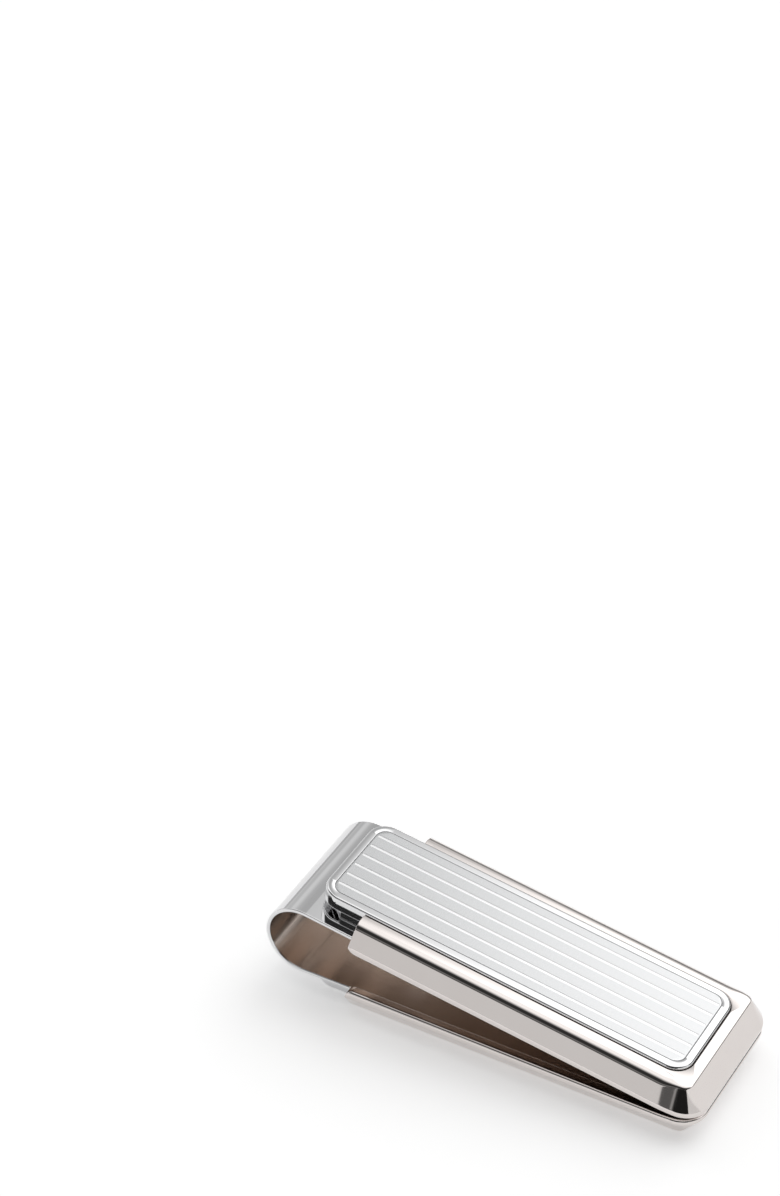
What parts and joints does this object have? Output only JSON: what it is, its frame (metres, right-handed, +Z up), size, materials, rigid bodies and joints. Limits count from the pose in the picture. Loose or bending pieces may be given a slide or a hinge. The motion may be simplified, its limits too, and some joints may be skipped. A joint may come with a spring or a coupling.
{
  "type": "money clip",
  "caption": "Polished steel money clip: bevelled hinged jaws on a U-shaped leaf spring, with pinstriped levers that slide out to squeeze it open.",
  "frame": {"origin": "middle of the clip's length and width, on the surface that the lower lever lies on", "axes": "+X along the length towards the jaw tip, +Y across the width, +Z up from the lower half to the upper one"},
  "size_m": [0.0546, 0.02, 0.0145],
  "materials": {
    "polished_frame": "mirror polished stainless steel",
    "polished_lever": "polished stainless steel rim and sides",
    "brushed_face": "very fine brushing across the clip, with six bright pinstripes along it",
    "spring_leaf": "polished spring steel",
    "jaw_plate": "smooth stainless steel with a warm brown tint and a slight haze",
    "pin_steel": "plain turned and rolled steel"
  },
  "bodies": {
    "lower_jaw": {"lower_frame": "polished_frame", "lower_jaw_plate": "jaw_plate", "lower_stop_pin": "pin_steel", "leaf_spring": "spring_leaf"},
    "upper_jaw": {"upper_frame": "polished_frame", "upper_jaw_plate": "jaw_plate", "upper_stop_pin": "pin_steel"},
    "lower_slider": {"lower_lever": "polished_lever", "lower_face_plate": "brushed_face", "lower_drag_spring": "pin_steel"},
    "upper_slider": {"upper_lever": "polished_lever", "upper_face_plate": "brushed_face", "upper_drag_spring": "pin_steel"}
  },
  "joints": [
    {"name": "jaw_hinge", "type": "hinge", "parent": "lower_jaw", "child": "upper_jaw", "pos_m": [-0.02265, 0, 0.0073], "axis": [0, -1, 0], "range_deg": [0, 20], "stiffness_Nm_per_rad": 1.3, "springref_deg": -8.59, "deforming": ["leaf_spring"]},
    {"name": "upper_lever_slide", "type": "slide", "parent": "upper_jaw", "child": "upper_slider", "axis": [-0.989, 0, 0.1478], "range_m": [0, 0.021]},
    {"name": "lower_lever_slide", "type": "slide", "parent": "lower_jaw", "child": "lower_slider", "axis": [-1, 0, 0], "range_m": [0, 0.021]}
  ]
}
